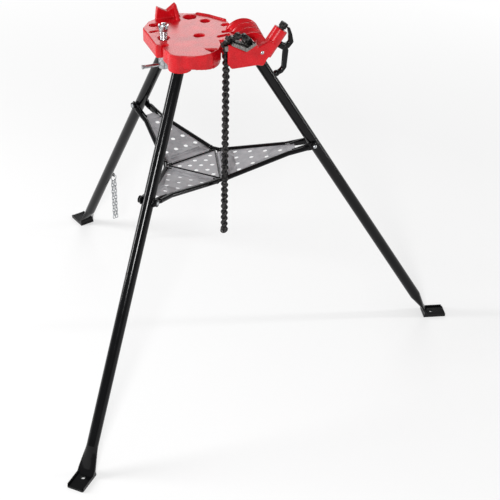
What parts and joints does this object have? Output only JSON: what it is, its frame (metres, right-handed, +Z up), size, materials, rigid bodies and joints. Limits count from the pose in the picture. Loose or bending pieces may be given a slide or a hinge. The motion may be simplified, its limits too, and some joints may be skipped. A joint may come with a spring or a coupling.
{
  "type": "tripod pipe vise stand",
  "caption": "Folding tripod stand with a cast deck, chain pipe vise, grooved bender drum, ceiling brace screw and a perforated tray between tube legs.",
  "frame": {"origin": "on the floor, under the middle of the whole footprint", "axes": "+Z up; +Y along a pipe held in the jaw, from the vise towards the back; +X to the right, towards the handle; the first leg points between -X and -Y"},
  "size_m": [1.2506, 1.2506, 0.9875],
  "materials": {
    "red_enamel": "gloss",
    "black_gloss": "gloss",
    "black_iron": "satin",
    "dark_steel": "oiled",
    "grey_sheet": "satin",
    "zinc": "bright zinc"
  },
  "bodies": {
    "stand": {"base_casting": "red_enamel", "bender_drum": "red_enamel", "vise_yoke": "red_enamel", "pipe_jaw": "black_iron", "jaw_pin": "red_enamel", "chain_anchor": "black_iron", "chain_lug": "black_iron", "chain_lead": "dark_steel", "handle_stub": "dark_steel", "leg_pins": "dark_steel"},
    "handle": {"screw_handle": "black_gloss"},
    "screw": {"chain_screw": "dark_steel"},
    "hanging_chain": {"vise_chain": "dark_steel", "vise_chain_pins": "dark_steel", "vise_chain_ring": "dark_steel"},
    "left_leg": {"leg_1": "black_gloss"},
    "right_leg": {"leg_2": "black_gloss"},
    "back_leg": {"leg_3": "black_gloss", "keeper_eye": "black_gloss"},
    "keeper": {"keeper_chain": "zinc"},
    "tray": {"tray_centre": "grey_sheet", "crease_rods": "dark_steel"},
    "left_wing": {"tray_wing_1": "grey_sheet", "wing_fork_1": "black_gloss"},
    "right_wing": {"tray_wing_2": "grey_sheet", "wing_fork_2": "black_gloss"},
    "back_wing": {"tray_wing_3": "grey_sheet", "wing_fork_3": "black_gloss"},
    "brace_nut": {"brace_hub": "zinc"},
    "brace_t_bar": {"brace_bar": "zinc"},
    "brace_post": {"brace_screw": "zinc"}
  },
  "joints": [
    {"name": "left_leg_fold", "type": "hinge", "parent": "stand", "child": "left_leg", "pos_m": [-0.17186, -0.17186, 0.905], "axis": [0.7071, -0.7071, 0], "range_deg": [0, 28.5]},
    {"name": "right_leg_fold", "type": "hinge", "parent": "stand", "child": "right_leg", "pos_m": [0.02076, -0.12024, 0.905], "axis": [0.2588, 0.9659, 0], "range_deg": [0, 28.5]},
    {"name": "back_leg_fold", "type": "hinge", "parent": "stand", "child": "back_leg", "pos_m": [-0.12024, 0.02076, 0.905], "axis": [-0.9659, -0.2588, 0], "range_deg": [0, 28.5]},
    {"name": "tray_drop", "type": "slide", "parent": "stand", "child": "tray", "axis": [0, 0, -1], "range_m": [0, 0.2414]},
    {"name": "left_wing_fold", "type": "hinge", "parent": "tray", "child": "left_wing", "pos_m": [-0.12767, -0.12767, 0.546], "axis": [-0.7071, 0.7071, 0], "range_deg": [0, 58.02]},
    {"name": "right_wing_fold", "type": "hinge", "parent": "tray", "child": "right_wing", "pos_m": [-0.03959, -0.10407, 0.546], "axis": [-0.2588, -0.9659, 0], "range_deg": [0, 58.02]},
    {"name": "back_wing_fold", "type": "hinge", "parent": "tray", "child": "back_wing", "pos_m": [-0.10407, -0.03959, 0.546], "axis": [0.9659, 0.2588, 0], "range_deg": [0, 58.02]},
    {"name": "keeper_swing", "type": "hinge", "parent": "back_leg", "child": "keeper", "pos_m": [-0.20372, 0.42502, 0.2466], "axis": [-0.9659, -0.2588, 0], "range_deg": [-28.5, 0]},
    {"name": "handle_turn", "type": "hinge", "parent": "stand", "child": "handle", "pos_m": [0.07043, -0.21319, 0.92986], "axis": [0.8192, 0, -0.5736], "range_deg": [-70, 170]},
    {"name": "screw_travel", "type": "slide", "parent": "stand", "child": "screw", "axis": [0.5736, 0, 0.8192], "range_m": [-0.0007, 0.0015]},
    {"name": "chain_swing", "type": "hinge", "parent": "stand", "child": "hanging_chain", "pos_m": [-0.07044, -0.21744, 0.865], "axis": [0, -1, 0], "range_deg": [-2.5, 8]},
    {"name": "brace_turn", "type": "hinge", "parent": "stand", "child": "brace_nut", "pos_m": [-0.18944, -0.09044, 0.87], "axis": [0, 0, 1], "range_deg": [0, 1800]},
    {"name": "brace_rise", "type": "slide", "parent": "stand", "child": "brace_post", "axis": [0, 0, 1], "range_m": [0, 0.03]},
    {"name": "t_bar_slide", "type": "slide", "parent": "brace_nut", "child": "brace_t_bar", "axis": [1, 0, 0], "range_m": [0, 0.038]}
  ],
  "couplings": [
    {"joint": "right_leg_fold", "follows": "left_leg_fold", "ratio": 1},
    {"joint": "back_leg_fold", "follows": "left_leg_fold", "ratio": 1},
    {"joint": "tray_drop", "follows": "left_leg_fold", "m_per_rad": 0.4853},
    {"joint": "left_wing_fold", "follows": "left_leg_fold", "ratio": 2.0358},
    {"joint": "right_wing_fold", "follows": "left_leg_fold", "ratio": 2.0358},
    {"joint": "back_wing_fold", "follows": "left_leg_fold", "ratio": 2.0358},
    {"joint": "keeper_swing", "follows": "left_leg_fold", "ratio": -1},
    {"joint": "screw_travel", "follows": "handle_turn", "m_per_rad": 0.000477},
    {"joint": "brace_rise", "follows": "brace_turn", "m_per_rad": 0.00095493}
  ]
}
